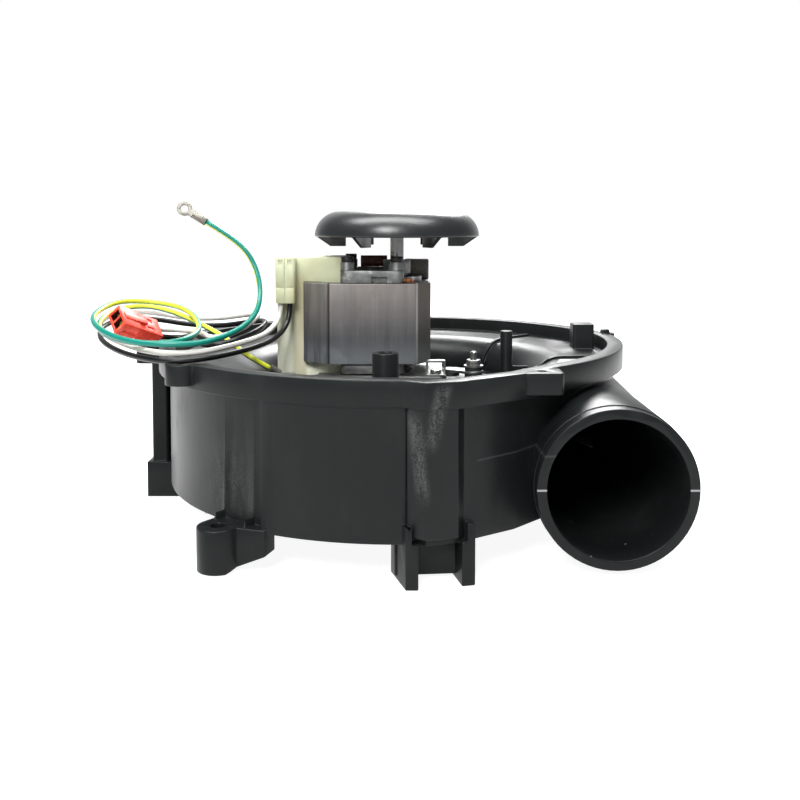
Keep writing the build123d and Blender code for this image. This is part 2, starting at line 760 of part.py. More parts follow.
# clip with its screw, on the plate beside the motor
clip_place = (22.0, -25.0)
clip_size = (11.0, 10.0)
clip_height = 9.0
clip_steel = 1.2
with BuildPart() as mount_clip:
    with BuildSketch(Plane.XY.offset(plate_bottom + plate_thickness)):
        with Locations(clip_place):
            Rectangle(*clip_size)
            Circle(1.8, mode=Mode.SUBTRACT)
    extrude(amount=clip_steel)
    with BuildSketch(Plane.XY.offset(plate_bottom + plate_thickness)):
        for side in (-1, 1):
            with Locations((clip_place[0] + side * (clip_size[0] - clip_steel) / 2, clip_place[1] - 1.5)):
                Rectangle(clip_steel, 5)
    extrude(amount=clip_height)
    with BuildSketch(Plane.XY.offset(plate_bottom + plate_thickness + clip_height - clip_steel)):
        with Locations((clip_place[0], clip_place[1] - 1.5)):
            Rectangle(clip_size[0], 5)
    extrude(amount=clip_steel)
    fillet(mount_clip.edges().filter_by(Axis.Y).group_by(Axis.Z)[-1], radius=1.0)
save(mount_clip, "mount_clip")

with BuildPart() as clip_screw:
    with BuildSketch(Plane.XY.offset(plate_bottom + plate_thickness)):
        with Locations(clip_place):
            Circle(1.7)
    extrude(amount=clip_steel)
    with BuildSketch(Plane.XY.offset(plate_bottom + plate_thickness + clip_steel)):
        with Locations(clip_place):
            Circle(3.2)
    extrude(amount=2.2)
save(clip_screw, "clip_screw")

# ---- rotor ---------------------------------------------------------------------------------------

with BuildPart() as motor_shaft:
    with BuildSketch(Plane.XY.offset(shaft_bottom)):
        Circle(shaft_radius)
    extrude(amount=shaft_top - shaft_bottom)
    chamfer(motor_shaft.edges().filter_by(GeomType.CIRCLE), length=0.6)
save(motor_shaft, "motor_shaft")

rotor_radius = bore_radius - air_gap
bar_places = [polar(rotor_radius - 2.2, 360 * n / 17) for n in range(17)]
with BuildPart() as rotor_core:
    with BuildSketch(Plane.XY.offset(stack_bottom)):
        Circle(rotor_radius)
        Circle(shaft_radius + running_gap, mode=Mode.SUBTRACT)
        with Locations(*bar_places):
            Circle(1.25, mode=Mode.SUBTRACT)
    extrude(amount=stack_height)
save(rotor_core, "rotor_core")

with BuildPart() as rotor_cage:
    for bottom in (stack_bottom - rotor_end_ring, stack_top):
        with BuildSketch(Plane.XY.offset(bottom)):
            Circle(rotor_radius - 0.2)
            Circle(rotor_radius - 5.5, mode=Mode.SUBTRACT)
        extrude(amount=rotor_end_ring)
    with BuildSketch(Plane.XY.offset(stack_bottom - 0.5)):
        with Locations(*bar_places):
            Circle(1.2)
    extrude(amount=stack_height + 1)
save(rotor_cage, "rotor_cage")

with BuildPart() as thrust_washers:
    for bottom in (stack_bottom - rotor_end_ring - 1, stack_top + 0.2):
        with BuildSketch(Plane.XY.offset(bottom)):
            Circle(bearing_radius)
            Circle(shaft_radius + running_gap, mode=Mode.SUBTRACT)
        extrude(amount=rotor_end_ring + 0.8)
save(thrust_washers, "thrust_washers")

with BuildPart() as slinger:
    with BuildSketch(Plane.XY.offset(impeller_top + 1.2)):
        Circle(10)
        Circle(shaft_radius + running_gap, mode=Mode.SUBTRACT)
    extrude(amount=1.2)
save(slinger, "slinger")

# ---- impeller ------------------------------------------------------------------------------------

plate = 2.0
set_screw_radius = 2.4
set_screw_level = impeller_top - 14
with BuildPart() as impeller:
    with BuildSketch(Plane.XY.offset(impeller_top - plate)):
        Circle(impeller_radius)
        Circle(hub_radius + running_gap, mode=Mode.SUBTRACT)
    extrude(amount=plate)
    with BuildSketch(Plane.XY.offset(impeller_bottom)):
        Circle(impeller_radius)
        Circle(impeller_eye, mode=Mode.SUBTRACT)
    extrude(amount=plate)
    with BuildSketch(Plane.XY.offset(impeller_bottom + plate / 2)):
        with PolarLocations(0, blade_count):
            with BuildLine():
                ThreePointArc((32, 0), (50, 7), (impeller_radius - 2, 6))
            trace(line_width=blade_thickness)
    extrude(amount=impeller_top - impeller_bottom - plate)
save(impeller, "impeller")

with BuildPart() as impeller_hub:
    with BuildSketch(Plane.XY.offset(impeller_top - 23)):
        Circle(hub_radius)
    extrude(amount=24.2)
    with BuildSketch(Plane.XY.offset(impeller_top - plate - 2)):
        Circle(hub_radius + 5)
    extrude(amount=2)
    with Locations((0, 0, impeller_top - 10)):
        Cylinder(shaft_radius + running_gap, 60, mode=Mode.SUBTRACT)
    with BuildSketch(Plane.YZ):
        with Locations((0, set_screw_level)):
            Circle(set_screw_radius + 0.05)
    extrude(amount=hub_radius + 1, mode=Mode.SUBTRACT)
save(impeller_hub, "impeller_hub")

with BuildPart() as impeller_set_screw:
    with BuildSketch(Plane.YZ.offset(shaft_radius + 0.05)):
        with Locations((0, set_screw_level)):
            Circle(set_screw_radius)
    extrude(amount=hub_radius - shaft_radius - 0.3)
    with BuildSketch(Plane.YZ.offset(hub_radius - 2.2)):
        with Locations((0, set_screw_level)):
            RegularPolygon(1.4, 6)
    extrude(amount=3, mode=Mode.SUBTRACT)
save(impeller_set_screw, "impeller_set_screw")

# ---- cooling fan ---------------------------------------------------------------------------------

fan_shoulder = 15.0


def dome_section(radius, top, rim, shoulder):
    """Half section of the fan's dome, across x and y of its plane."""
    with BuildSketch() as section:
        with BuildLine():
            Polyline((0, rim), (0, top), (radius - shoulder, top))
            EllipticalCenterArc((radius - shoulder, rim), shoulder, top - rim, start_angle=0, arc_size=90)
            Line((radius, rim), (0, rim))
        make_face()
    return section.sketch_local


with BuildPart() as cooling_fan:
    with BuildSketch(Plane.XZ):
        add(dome_section(fan_radius, fan_top, fan_rim, fan_shoulder))
    revolve(axis=Axis.Z)
    with BuildSketch(Plane.XZ):
        add(dome_section(fan_radius - fan_skin, fan_top - fan_skin, fan_rim, fan_shoulder - 1))
    revolve(axis=Axis.Z, mode=Mode.SUBTRACT)
    with BuildSketch(Plane.XY.offset(fan_hub_bottom)):
        Circle(fan_hub_radius)
    extrude(amount=fan_top - fan_hub_bottom - 1)
    for n in range(fan_fin_count):
        with BuildSketch(Plane.XZ.rotated((0, 0, 360 * n / fan_fin_count)).offset(-fan_fin_thickness / 2)):
            with BuildLine():
                Polyline(
                    (fan_fin_inner, fan_top - 2), (fan_fin_inner, fan_fin_bottom),
                    (fan_radius - 9, fan_fin_bottom), (fan_radius - 0.4, fan_rim),
                    (fan_radius - 3, fan_rim + 6), (fan_radius - 12, fan_top - 2), close=True,
                )
            make_face()
        extrude(amount=fan_fin_thickness)
    with Locations((0, 0, (fan_fin_bottom + shaft_top + 0.3) / 2 - 5)):
        Cylinder(shaft_radius + running_gap, shaft_top + 0.3 - fan_fin_bottom + 10, mode=Mode.SUBTRACT)
save(cooling_fan, "cooling_fan")

with BuildPart() as fan_clip:
    with BuildSketch(Plane.XY.offset(fan_hub_bottom + 1)):
        Circle(fan_hub_radius + 1.0)
        Circle(fan_hub_radius + 0.03, mode=Mode.SUBTRACT)
        with Locations((fan_hub_radius, 0)):
            Rectangle(6, 1.2, mode=Mode.SUBTRACT)
    extrude(amount=4)
save(fan_clip, "fan_clip")

# ---- wiring --------------------------------------------------------------------------------------

white_route = (
    (-66, -16.9, 125), (-66, -16.9, 113.5), (-69, -23, 106), (-73.5, -34, 102.3), (-79, -48, 101),
    (-87, -67, 100.3), (-98, -83, 99.5), (-114, -86, 99), (-132, -74, 99.5), (-149, -58, 102),
    (-163, -41, 105.2), (-168.5, -21, 109.2), (-162, -2, 112), (-145, 6, 110.5), (-125, 6, 107),
    (-105, 1, 107.5), (-88, -6, 110.5), (-78, -18, 112.5), (-79, -34, 110.5), (-84.5, -46, 106.5),
    (-95, -52.5, 103), (-102.5, -43, 101.8), (-108, -30, 102), (-115.5, -18, 102.3),
    (-127.5, -13, 102.4), (-136.6, -25.9, 104.35),
)
black_route = (
    (-61, -16.9, 125), (-61, -16.9, 112), (-63.5, -24, 104), (-68.5, -36, 99.5), (-75, -52, 98),
    (-84, -71, 97.4), (-97, -88, 96.6), (-115, -91, 96), (-134, -78, 96.5), (-151, -60, 98.5),
    (-163, -41, 101.3), (-168.5, -20, 105.2), (-161, 1, 108), (-145, 11, 106), (-125, 11, 102.5),
    (-104, 5, 102.5), (-86, -3, 106), (-74, -17, 108.5), (-75, -36, 105.5), (-86, -53, 101.5),
    (-97, -57, 99.2), (-105.5, -47.5, 98.8), (-111.5, -35, 98.8), (-115.5, -24.5, 98.6),
    (-122, -15, 98.3), (-131.5, -18, 98.6), (-134.4, -29.1, 100.85),
)
ground_route = (
    (-69.5, -45, 85.5), (-75, -48.5, 89.5), (-81.5, -47, 93), (-89, -39, 97), (-99, -28, 101.5),
    (-113, -17, 106.5), (-130, -8, 112.5), (-147, -5.5, 116), (-160, -15, 114.8), (-164.5, -32, 111),
    (-161, -50, 107.8), (-150, -66, 105), (-132, -77, 103), (-116, -75, 103), (-107.5, -62, 104.3),
    (-107, -44, 106.8), (-112.5, -26, 110.5), (-122.5, -8, 113.5), (-134, 3, 115.5), (-149, 3.5, 117.5),
    (-162, -7, 118.5), (-168, -25, 115.2), (-165, -48, 112.6), (-153.5, -69, 108.6), (-135, -83, 104.8),
    (-116, -88, 104), (-98, -84, 104), (-87, -70, 106.5), (-79.5, -54, 110.5), (-76, -38, 117),
    (-76.5, -27, 127), (-79.5, -21.5, 138), (-85.5, -19.5, 148.5), (-95, -19, 156.5),
    (-108, -19, 164.5),
)
arc_share = 0.45


def save_lead(route, name):
    """A round lead of straight runs and tangent arcs, each arc as large as its two runs allow."""
    corners = [Vector(*point) for point in route]
    radii = []
    for before, corner, after in zip(corners, corners[1:], corners[2:]):
        shorter = min((corner - before).length, (after - corner).length)
        turn = radians((corner - before).get_angle(after - corner))
        radii.append(arc_share * shorter / tan(turn / 2))
    with BuildPart() as lead:
        with BuildLine():
            line = FilletPolyline(*corners, radius=radii)
        with BuildSketch(Plane(origin=line @ 0, z_dir=line % 0)):
            Circle(lead_diameter / 2)
        sweep()
    expected = pi * (lead_diameter / 2) ** 2 * line.length
    print(f"{name}: length {line.length:.1f}, arc radii {min(radii):.1f} to {max(radii):.1f},", end=" ")
    print(f"volume over section times length {lead.part.volume / expected:.4f}")
    save(lead, name)


save_lead(white_route, "white_lead")
save_lead(black_route, "black_lead")
save_lead(ground_route, "ground_wire")

# two-way plug on the ends of the white and black leads
plug_rear = Vector(-135.5, -27.5, 102.6)
plug_along = Vector(-0.538, -0.769, 0.348).normalized()
plug_across = Vector(0.426, -0.602, -0.673).normalized()
plug_plane = Plane(origin=plug_rear, x_dir=plug_across, z_dir=plug_along)
plug_length = 28.5
contact_spacing = 5.2
with BuildPart() as plug_housing:
    with BuildSketch(plug_plane.offset(0.1)):
        RectangleRounded(12.6, 8.0, 1.6)
    extrude(amount=plug_length * 0.55)
    with BuildSketch(plug_plane.offset(plug_length * 0.55)):
        RectangleRounded(13.6, 9.2, 1.6)
    extrude(amount=plug_length * 0.45)
    with BuildSketch(plug_plane):
        with Locations((-contact_spacing / 2, 0), (contact_spacing / 2, 0)):
            Circle(1.7)
    extrude(amount=plug_length + 1, mode=Mode.SUBTRACT)
save(plug_housing, "plug_housing")

with BuildPart() as plug_contacts:
    with BuildSketch(plug_plane.offset(0.3)):
        with Locations((-contact_spacing / 2, 0), (contact_spacing / 2, 0)):
            Circle(1.6)
    extrude(amount=plug_length - 3)
save(plug_contacts, "plug_contacts")

# ring terminal crimped on the free end of the ground wire
free_end = Vector(*ground_route[-1])
free_along = (free_end - Vector(*ground_route[-2])).normalized()
terminal_plane = Plane(origin=free_end, x_dir=(0.47, 0.42, 0.77), z_dir=free_along)
barrel_radius = 2.3
barrel_length = 8.5
eye_outer = 4.2
eye_inner = 2.2
eye_reach = 14.5
tongue_thickness = 0.9
with BuildPart() as ring_terminal:
    with BuildSketch(terminal_plane.offset(0.1)):
        Circle(barrel_radius)
    extrude(amount=barrel_length)
    eye_plane = Plane(origin=free_end - terminal_plane.y_dir * tongue_thickness / 2, x_dir=free_along,
                      z_dir=terminal_plane.y_dir)
    with BuildSketch(eye_plane):
        with Locations((barrel_length / 2 + eye_reach / 2, 0)):
            Rectangle(eye_reach - barrel_length + 2, 4.4)
        with Locations((eye_reach, 0)):
            Circle(eye_outer)
            Circle(eye_inner, mode=Mode.SUBTRACT)
    extrude(amount=tongue_thickness)
save(ring_terminal, "ring_terminal")

# eyelet and screw at the wire's fixed end
fixed_end = Vector(*ground_route[0])
fixed_along = (fixed_end - Vector(*ground_route[1])).normalized()
eyelet_bottom = plate_bottom + plate_thickness
with BuildPart() as ground_eyelet:
    with BuildSketch(Plane.XY.offset(eyelet_bottom)):
        with Locations(ground_place):
            Circle(4.2)
        with BuildLine():
            Line(ground_place, (fixed_end.X + 5.0, fixed_end.Y + 3.3))
        trace(line_width=3.6)
        with Locations(ground_place):
            Circle(1.9, mode=Mode.SUBTRACT)
    extrude(amount=0.9)
    with BuildSketch(Plane(origin=fixed_end + fixed_along * 0.1, z_dir=fixed_along)):
        Circle(barrel_radius)
    extrude(amount=7)
    with BuildSketch(Plane.XY.offset(eyelet_bottom)):
        with Locations((fixed_end.X + 4.6, fixed_end.Y + 2.9)):
            Rectangle(2.4, 3.2, rotation=35)
    extrude(amount=6)
save(ground_eyelet, "ground_eyelet")

with BuildPart() as ground_screw:
    with BuildSketch(Plane.XY.offset(plate_bottom - 6)):
        with Locations(ground_place):
            Circle(1.75)
    extrude(amount=6 + plate_thickness + 0.9)
    with BuildSketch(Plane.XY.offset(eyelet_bottom + 0.9)):
        with Locations(ground_place):
            Circle(3.3)
    extrude(amount=2.4)
save(ground_screw, "ground_screw")
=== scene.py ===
# Combustion fan of a furnace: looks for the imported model, in metres and in the model's own frame.
import math

import bmesh
import bpy
from mathutils import Matrix, Vector


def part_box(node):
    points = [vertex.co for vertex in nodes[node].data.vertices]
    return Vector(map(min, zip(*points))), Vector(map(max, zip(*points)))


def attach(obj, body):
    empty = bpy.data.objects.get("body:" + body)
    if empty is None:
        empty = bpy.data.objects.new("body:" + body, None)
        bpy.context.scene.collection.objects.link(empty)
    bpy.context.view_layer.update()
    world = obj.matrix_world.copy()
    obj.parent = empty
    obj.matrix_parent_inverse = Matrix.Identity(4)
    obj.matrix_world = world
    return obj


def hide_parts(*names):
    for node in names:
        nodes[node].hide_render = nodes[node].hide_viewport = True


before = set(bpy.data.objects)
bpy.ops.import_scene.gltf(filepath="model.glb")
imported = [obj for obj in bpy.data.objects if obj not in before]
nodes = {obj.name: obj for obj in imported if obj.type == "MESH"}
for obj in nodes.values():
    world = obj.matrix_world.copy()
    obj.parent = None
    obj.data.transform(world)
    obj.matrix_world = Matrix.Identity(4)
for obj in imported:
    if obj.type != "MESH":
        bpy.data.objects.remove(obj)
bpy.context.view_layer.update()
mm = 0.001
print("loaded", len(nodes), "nodes")


# camera and lamps, with the paper floor's settings; lamp places are in metres

camera = {
    "place": (1.8, -558.0, 168.5),  # mm
    "pitch": 3.0,                   # degrees down
    "lens": 42.7,
    "shiftY": -0.169,
}
studio = {
    "ahead": (1.0, 1.0, 1.0),
    "behind": (0.24, 0.25, 0.26),
    "turn": (0.6, 0.87),  # where grey gives way to white, as the Y of the direction looked in
    "view": "Standard",
    "lamps": {
        "back": {"place": (0.15, 0.95, 0.85), "size": 0.6, "power": 22.0, "aim": (0, 0, 0.08)},
        "top": {
            "place": (-0.12, -0.10, 1.25), "size": 0.5, "wide": 1.5, "power": 34.0, "aim": (-0.1, 0, 0.12),
        },
        "front": {"place": (-0.35, -1.25, 1.05), "size": 0.6, "power": 25.0, "aim": (0, 0, 0.1)},
    },
}
paper = {"size": 7.0, "level": -0.0004, "color": (0.34, 0.34, 0.34), "glow": 0.92}


def makeCamera():
    data = bpy.data.cameras.new("camera")
    data.lens = camera["lens"]
    data.sensor_width = 36
    data.shift_y = camera["shiftY"]
    cam = bpy.data.objects.new("camera", data)
    bpy.context.scene.collection.objects.link(cam)
    cam.location = Vector(camera["place"]) * mm
    cam.rotation_euler = (math.radians(90 - camera["pitch"]), 0, 0)
    bpy.context.scene.camera = cam


def makeLights():
    world = bpy.data.worlds.new("studio")
    bpy.context.scene.world = world
    bpy.context.scene.view_settings.view_transform = studio["view"]
    world.use_nodes = True
    tree = world.node_tree
    place = tree.nodes.new("ShaderNodeTexCoord")
    split = tree.nodes.new("ShaderNodeSeparateXYZ")
    ramp = tree.nodes.new("ShaderNodeMapRange")
    ramp.inputs["From Min"].default_value = studio["turn"][0]
    ramp.inputs["From Max"].default_value = studio["turn"][1]
    mix = tree.nodes.new("ShaderNodeMix")
    mix.data_type = "RGBA"
    mix.inputs[6].default_value = (*studio["behind"], 1)
    mix.inputs[7].default_value = (*studio["ahead"], 1)
    tree.links.new(place.outputs["Generated"], split.inputs[0])
    tree.links.new(split.outputs["Y"], ramp.inputs["Value"])
    tree.links.new(ramp.outputs["Result"], mix.inputs[0])
    tree.links.new(mix.outputs[2], tree.nodes["Background"].inputs["Color"])
    for name, spec in studio["lamps"].items():
        data = bpy.data.lights.new(name, "AREA")
        data.shape = "RECTANGLE" if "wide" in spec else "DISK"
        data.size = spec.get("wide", spec["size"])
        data.size_y = spec["size"]
        data.energy = spec["power"]
        lamp = bpy.data.objects.new(name, data)
        bpy.context.scene.collection.objects.link(lamp)
        lamp.location = spec["place"]
        lamp.rotation_euler = (Vector(spec["aim"]) - lamp.location).to_track_quat("-Z", "Y").to_euler()


def takeOnly(piece=None):
    if bpy.context.object and bpy.context.object.mode != "OBJECT":
        bpy.ops.object.mode_set(mode="OBJECT")
    bpy.ops.object.select_all(action="DESELECT")
    if piece:
        piece.select_set(True)
        bpy.context.view_layer.objects.active = piece


makeCamera()
makeLights()
print("camera and lights")


# the three leads: their smooth lines first, their covering further down

leads = {
    "whiteLead": {
        "node": "white_lead", "look": "whiteLead", "slot": "white_insulation", "farEnd": "plug",
        "route": (  # mm
            (-66, -16.9, 125), (-66, -16.9, 113.5), (-69, -23, 106), (-73.5, -34, 102.3), (-79, -48, 101),
            (-87, -67, 100.3), (-98, -83, 99.5), (-114, -86, 99), (-132, -74, 99.5), (-149, -58, 102),
            (-163, -41, 105.2), (-168.5, -21, 109.2), (-162, -2, 112), (-145, 6, 110.5), (-125, 6, 107),
            (-105, 1, 107.5), (-88, -6, 110.5), (-78, -18, 112.5), (-79, -34, 110.5), (-84.5, -46, 106.5),
            (-95, -52.5, 103), (-102.5, -43, 101.8), (-108, -30, 102), (-115.5, -18, 102.3),
            (-127.5, -13, 102.4), (-136.6, -25.9, 104.35),
        ),
    },
    "blackLead": {
        "node": "black_lead", "look": "blackLead", "slot": "black_insulation", "farEnd": "plug",
        "route": (  # mm
            (-61, -16.9, 125), (-61, -16.9, 112), (-63.5, -24, 104), (-68.5, -36, 99.5), (-75, -52, 98),
            (-84, -71, 97.4), (-97, -88, 96.6), (-115, -91, 96), (-134, -78, 96.5), (-151, -60, 98.5),
            (-163, -41, 101.3), (-168.5, -20, 105.2), (-161, 1, 108), (-145, 11, 106), (-125, 11, 102.5),
            (-104, 5, 102.5), (-86, -3, 106), (-74, -17, 108.5), (-75, -36, 105.5), (-86, -53, 101.5),
            (-97, -57, 99.2), (-105.5, -47.5, 98.8), (-111.5, -35, 98.8), (-115.5, -24.5, 98.6),
            (-122, -15, 98.3), (-131.5, -18, 98.6), (-134.4, -29.1, 100.85),
        ),
    },
    "groundWire": {
        "node": "ground_wire", "look": "greenLead", "slot": "green_insulation", "farEnd": "connector",
        "route": (  # mm
            (-69.5, -45, 85.5), (-75, -48.5, 89.5), (-81.5, -47, 93), (-89, -39, 97), (-99, -28, 101.5),
            (-113, -17, 106.5), (-130, -8, 112.5), (-147, -5.5, 116), (-160, -15, 114.8),
            (-164.5, -32, 111), (-161, -50, 107.8), (-150, -66, 105), (-132, -77, 103), (-116, -75, 103),
            (-107.5, -62, 104.3), (-107, -44, 106.8), (-112.5, -26, 110.5), (-122.5, -8, 113.5),
            (-134, 3, 115.5), (-149, 3.5, 117.5), (-162, -7, 118.5), (-168, -25, 115.2), (-165, -48, 112.6),
            (-153.5, -69, 108.6), (-135, -83, 104.8), (-116, -88, 104), (-98, -84, 104), (-87, -70, 106.5),
            (-79.5, -54, 110.5), (-76, -38, 117), (-76.5, -27, 127), (-79.5, -21.5, 138),
            (-85.5, -19.5, 148.5), (-95, -19, 156.5), (-108, -19, 164.5),
        ),
    },
}
leadShape = {"diameter": 3.0 * mm, "sides": 16, "resolution": 10}


def centreLine(name, route):
    data = bpy.data.curves.new(name + "Line", "CURVE")
    data.dimensions = "3D"
    spline = data.splines.new("NURBS")
    spline.points.add(len(route) - 1)
    for point, place in zip(spline.points, route):
        point.co = (*(Vector(place) * mm), 1)
    spline.order_u = 3
    spline.use_endpoint_u = True
    spline.resolution_u = leadShape["resolution"]
    holder = bpy.data.objects.new(name + "Line", data)
    mesh = bpy.data.meshes.new_from_object(holder)
    points = [v.co.copy() for v in mesh.vertices]
    bpy.data.meshes.remove(mesh)
    bpy.data.objects.remove(holder)
    bpy.data.curves.remove(data)
    return points


def tube(name, points, radius, sides):
    count = len(points)
    along = [(points[min(i + 1, count - 1)] - points[max(i - 1, 0)]).normalized() for i in range(count)]
    side = along[0].orthogonal().normalized()
    shape = bmesh.new()
    rings = []
    travelled = [0.0]
    for i, point in enumerate(points):
        side = (side - along[i] * side.dot(along[i])).normalized()
        other = along[i].cross(side)
        ring = []
        for n in range(sides):
            turn = 2 * math.pi * n / sides
            ring.append(shape.verts.new(point + (side * math.cos(turn) + other * math.sin(turn)) * radius))
        rings.append(ring)
        if i:
            travelled.append(travelled[-1] + (point - points[i - 1]).length)
    layer = shape.loops.layers.uv.new("around")  # u is metres along the lead, v is its turn
    for i in range(count - 1):
        for n in range(sides):
            after = (n + 1) % sides
            face = shape.faces.new((rings[i][n], rings[i][after], rings[i + 1][after], rings[i + 1][n]))
            face.smooth = True
            corners = ((i, n), (i, n + 1), (i + 1, n + 1), (i + 1, n))
            for loop, (row, column) in zip(face.loops, corners):
                loop[layer].uv = (travelled[row], column / sides)
    shape.faces.new(list(reversed(rings[0])))
    shape.faces.new(rings[-1])
    mesh = bpy.data.meshes.new(name)
    shape.to_mesh(mesh)
    shape.free()
    piece = bpy.data.objects.new(name, mesh)
    bpy.context.scene.collection.objects.link(piece)
    return piece, travelled[-1]


leadPieces = {}
for name, spec in leads.items():
    line = centreLine(name, spec["route"])
    piece, length = tube(name, line, leadShape["diameter"] / 2, leadShape["sides"])
    leadPieces[name] = (piece, line, length)
    print(name, "length", round(length, 3))


# shader maths

class Value:
    def __init__(self, shader, socket):
        self.shader = shader
        self.socket = socket

    def sum(self, operation, first, second=None):
        inputs = {0: first} if second is None else {0: first, 1: second}
        return self.shader.add("ShaderNodeMath", {"operation": operation}, inputs)

    def __add__(self, other):
        return self.sum("ADD", self, other)

    __radd__ = __add__

    def __sub__(self, other):
        return self.sum("SUBTRACT", self, other)

    def __rsub__(self, other):
        return self.sum("SUBTRACT", other, self)

    def __mul__(self, other):
        return self.sum("MULTIPLY", self, other)

    __rmul__ = __mul__

    def __truediv__(self, other):
        return self.sum("DIVIDE", self, other)

    def __abs__(self):
        return self.sum("ABSOLUTE", self)

    def fraction(self):
        return self.sum("FRACT", self)

    def step(self, low, high):
        settings = {"interpolation_type": "SMOOTHSTEP"}
        inputs = {"Value": self, "From Min": low, "From Max": high}
        return self.shader.add("ShaderNodeMapRange", settings, inputs)


class Shader:
    def __init__(self, name, baseColor, roughness, metallic=0.0):
        self.material = bpy.data.materials.new(name)
        self.material.use_nodes = True
        self.tree = self.material.node_tree
        self.surface = self.tree.nodes["Principled BSDF"]
        self.surface.inputs["Base Color"].default_value = (*baseColor, 1)
        self.surface.inputs["Roughness"].default_value = roughness
        self.surface.inputs["Metallic"].default_value = metallic
        self.place = self.add("ShaderNodeTexCoord", {}, {}, "Object")

    def add(self, kind, settings, inputs, output=0):
        node = self.tree.nodes.new(kind)
        for key, value in settings.items():
            setattr(node, key, value)
        for key, value in inputs.items():
            if isinstance(value, Value):
                self.tree.links.new(value.socket, node.inputs[key])
            else:
                node.inputs[key].default_value = value
        return Value(self, node.outputs[output])

    def set(self, **inputs):
        for key, value in inputs.items():
            name = {"color": "Base Color", "roughness": "Roughness", "metallic": "Metallic",
                    "normal": "Normal", "specular": "Specular IOR Level",
                    "subsurface": "Subsurface Weight"}[key]
            if isinstance(value, Value):
                self.tree.links.new(value.socket, self.surface.inputs[name])
            else:
                self.surface.inputs[name].default_value = value

    def axis(self, name):
        return self.add("ShaderNodeSeparateXYZ", {}, {0: self.place}, name)

    def stretched(self, scale):
        return self.add("ShaderNodeMapping", {}, {"Vector": self.place, "Scale": scale})

    def noise(self, scale, detail=4.0, vector=None, roughness=0.55):
        inputs = {"Vector": vector or self.place, "Scale": scale, "Detail": detail, "Roughness": roughness}
        return self.add("ShaderNodeTexNoise", {}, inputs)

    def speckle(self, scale):
        return self.add("ShaderNodeTexVoronoi", {}, {"Vector": self.place, "Scale": scale})

    def blend(self, factor, first, second):
        first, second = (color if isinstance(color, Value) else (*color, 1) for color in (first, second))
        return self.add("ShaderNodeMix", {"data_type": "RGBA"}, {0: factor, 6: first, 7: second}, 2)

    def bump(self, height, distance, strength=1.0, under=None):
        inputs = {"Height": height, "Distance": distance, "Strength": strength}
        if under is not None:
            inputs["Normal"] = under
        return self.add("ShaderNodeBump", {}, inputs)


# materials

housingLook = {
    "base": (0.0065, 0.0078, 0.0080),
    "dust": (0.060, 0.064, 0.064),
    "scratch": (0.20, 0.205, 0.20),
    "pipeMark": (0.30, 0.31, 0.31),
    "levelLine": 0.0408,  # height of the moulding line near the outlet
    "edgeHighlightHeight": 0.0562,   # height of the painted highlight line along the faint step beside it
    "lineHalf": (0.0006, 0.0003),
}


def housingPlastic():
    # satin black moulding with haze above the ear, scratches down the front boss and dust in the spigot
    s = Shader("housingPlastic", housingLook["base"], 0.42)
    cloud = s.noise(12, 5)
    grain = s.noise(950, 2)
    rub = s.noise(150, 6, s.stretched((1.5, 1.5, 0.35)))
    fleck = s.noise(1100, 3)
    x, y, z = s.axis("X"), s.axis("Y"), s.axis("Z")
    onBoss = y.step(-0.128, -0.133)
    right = abs(x - 0.0167 - (z - 0.0716) * 0.232).step(0.0052, 0.0006)
    right = right * z.step(0.060, 0.070) * z.step(0.0945, 0.090)
    left = abs(x - 0.0118 + (z - 0.045) * 0.114).step(0.0046, 0.0008)
    left = left * z.step(0.036, 0.050) * z.step(0.084, 0.074)
    scuff = onBoss * (right + left) * (rub.step(0.34, 0.62) * 0.6 + fleck.step(0.40, 0.60) * 0.6)
    onLeft = abs(x + 0.082).step(0.020, 0.004) * y.step(-0.08, -0.092)
    onLeft = onLeft * z.step(0.018, 0.028) * z.step(0.066, 0.045)
    haze = onLeft * rub.step(0.36, 0.62) * fleck.step(0.35, 0.62)
    specks = s.speckle(230).step(0.17, 0.09) * s.noise(70, 3).step(0.56, 0.64)
    inSpigot = x.step(0.068, 0.075) * y.step(-0.06, -0.09) * z.step(0.018, 0.010)
    wear = s.noise(45, 6, s.stretched((1, 1, 0.5))).step(0.52, 0.72)
    dust = cloud.step(0.48, 0.76) * 0.07 + specks * 0.04 + wear * 0.06 + z.step(0.088, 0.0945) * 0.06
    color = s.blend(dust, housingLook["base"], housingLook["dust"])
    color = s.blend(scuff * 0.24 + haze * 0.10, color, housingLook["scratch"])
    level = abs(z - housingLook["levelLine"]).step(*housingLook["lineHalf"])
    level = level * y.step(-0.1236, -0.1238) * x.step(0.05, 0.06)
    color = s.blend(level * 0.8 + specks * inSpigot, color, housingLook["pipeMark"])
    # painted highlight: a thin pale line along the edge of the recessed step, painted in the dust colour
    edge = abs(z - housingLook["edgeHighlightHeight"] - (x - 0.055) * 0.04).step(*housingLook["lineHalf"])
    edge = edge * y.step(-0.05, -0.06) * x.step(0.037, 0.038) * x.step(0.080, 0.076)
    color = s.blend(edge * 0.35, color, housingLook["dust"])
    s.set(color=color, roughness=0.27 + cloud * 0.12 + scuff * 0.2 + wear * 0.12, specular=0.15)
    fine = s.bump(grain, 0.00012, 0.30)
    s.set(normal=s.bump(scuff + cloud * 0.5 + rub * 0.25, 0.0003, 0.30, fine))
    return s.material


def fanPlastic():
    s = Shader("fanPlastic", (0.008, 0.009, 0.0095), 0.34)
    cloud = s.noise(30, 4)
    rub = s.noise(300, 5, s.stretched((0.35, 1.0, 1.0)))
    # painted highlight: pale streaks across the top of the dome
    streakHighlight = rub.step(0.54, 0.72) * s.axis("Z").step(0.158, 0.168)
    s.set(color=s.blend(streakHighlight * 0.10 + cloud * 0.05, (0.008, 0.009, 0.0095), (0.10, 0.11, 0.115)))
    s.set(roughness=0.27 + cloud * 0.10 + streakHighlight * 0.05, specular=0.5)
    s.set(normal=s.bump(s.noise(750, 2), 0.0001, 0.45))
    return s.material


